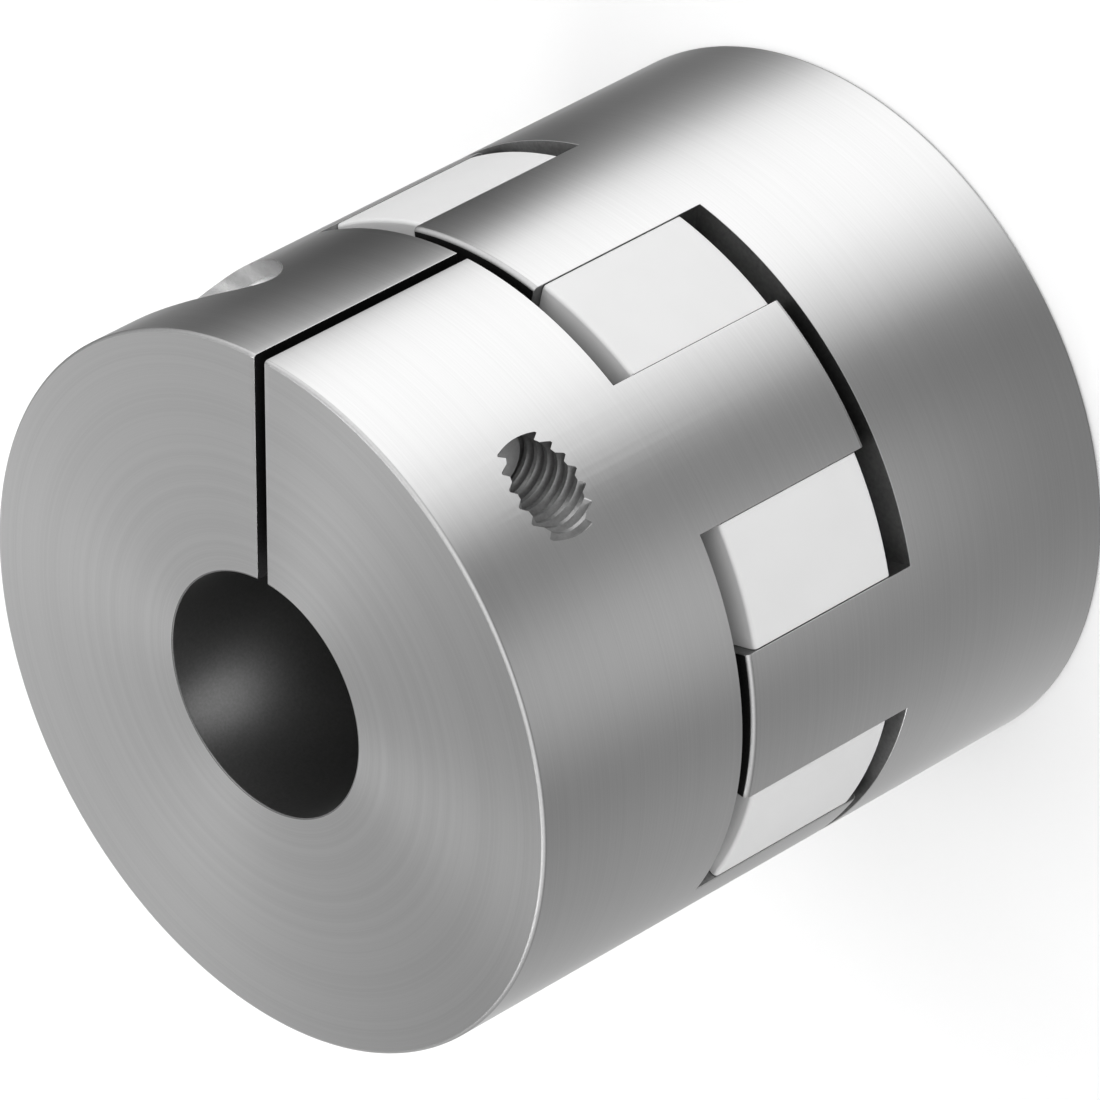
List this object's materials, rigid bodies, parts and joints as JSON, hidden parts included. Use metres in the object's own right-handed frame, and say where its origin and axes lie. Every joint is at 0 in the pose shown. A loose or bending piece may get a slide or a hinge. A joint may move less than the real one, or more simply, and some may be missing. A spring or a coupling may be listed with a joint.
{
  "type": "shaft coupling",
  "caption": "Clamping jaw coupling that joins shaft ends through interleaved metal jaws and a white elastomer insert.",
  "frame": {"origin": "centre of the rear hub's end face, on the shafts' axis, at the base the coupling stands on", "axes": "+Z along the shafts' axis from the rear hub to the front hub, +Y through the front hub's slit, +X from the front clamp screw's head to its tip"},
  "size_m": [0.056, 0.056, 0.058],
  "materials": {
    "hub_aluminium": "fine turned, bright",
    "insert_elastomer": "smooth moulded, satin white",
    "screw_steel": "satin"
  },
  "bodies": {
    "root": {"front_hub": "hub_aluminium", "rear_hub": "hub_aluminium", "spider_insert": "insert_elastomer", "front_clamp_screw": "screw_steel", "rear_clamp_screw": "screw_steel"}
  },
  "joints": []
}
